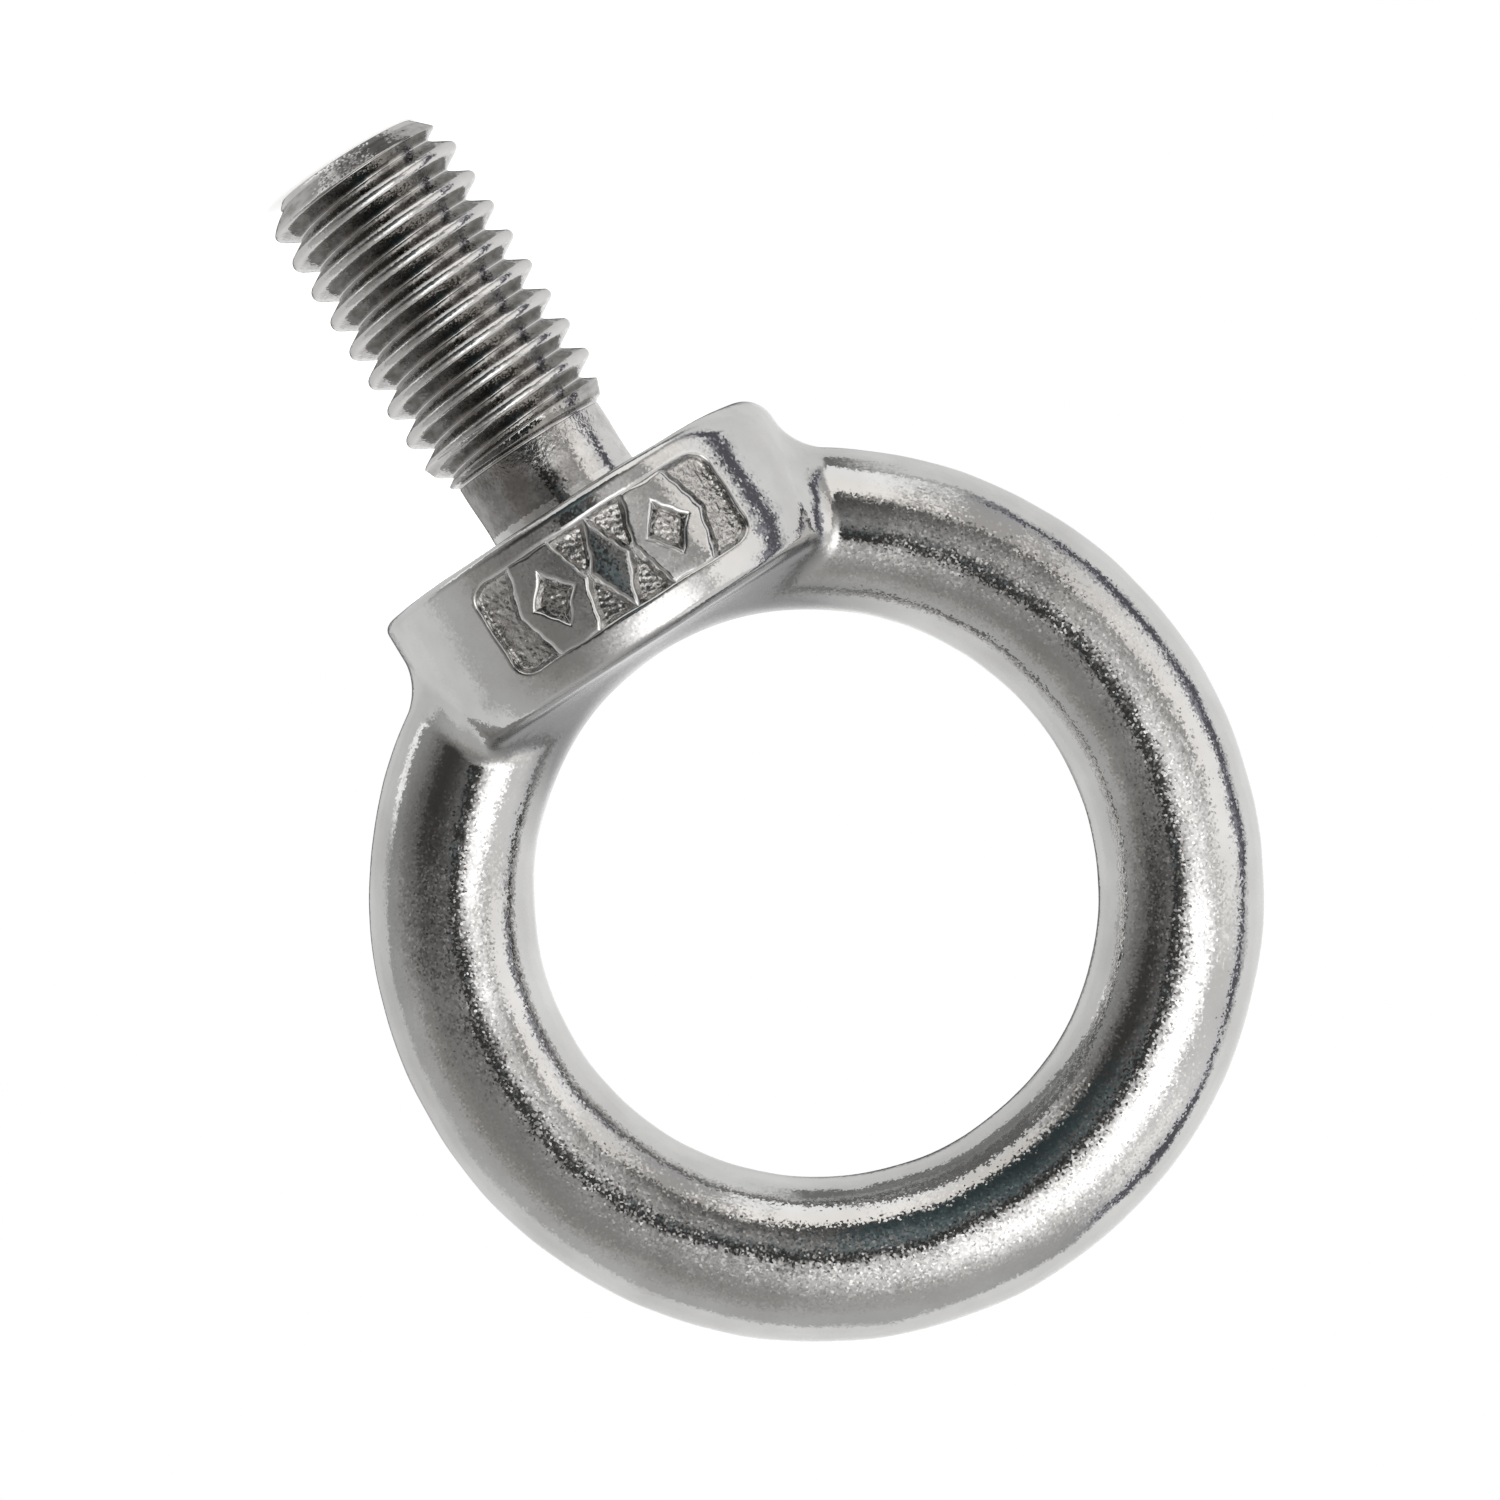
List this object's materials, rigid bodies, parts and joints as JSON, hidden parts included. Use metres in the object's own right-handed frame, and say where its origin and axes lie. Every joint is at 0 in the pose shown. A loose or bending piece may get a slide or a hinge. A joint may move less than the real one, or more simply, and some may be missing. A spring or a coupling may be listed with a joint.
{
  "type": "lifting eye bolt",
  "caption": "Polished stainless steel lifting eye bolt: round-bar ring on a round collar with a sunk marking panel, plain neck and short coarse-threaded shank with a chamfered point.",
  "frame": {"origin": "where the bolt's axis crosses the flat seat face under the collar", "axes": "+Z along the bolt's axis from the seat up through the eye, +X across the eye, and -Y the side with the sunk marking panel"},
  "size_m": [0.0404, 0.0202, 0.0597],
  "materials": {
    "polished_body": "stainless steel, taken to be forged or cast, tumbled and polished, with fine pits left in it",
    "shank": "turned and rolled stainless steel thread"
  },
  "bodies": {
    "root": {"eye_ring": "polished_body", "collar": "polished_body", "size_figures": "polished_body", "neck": "shank", "threaded_shank": "shank"}
  },
  "joints": []
}
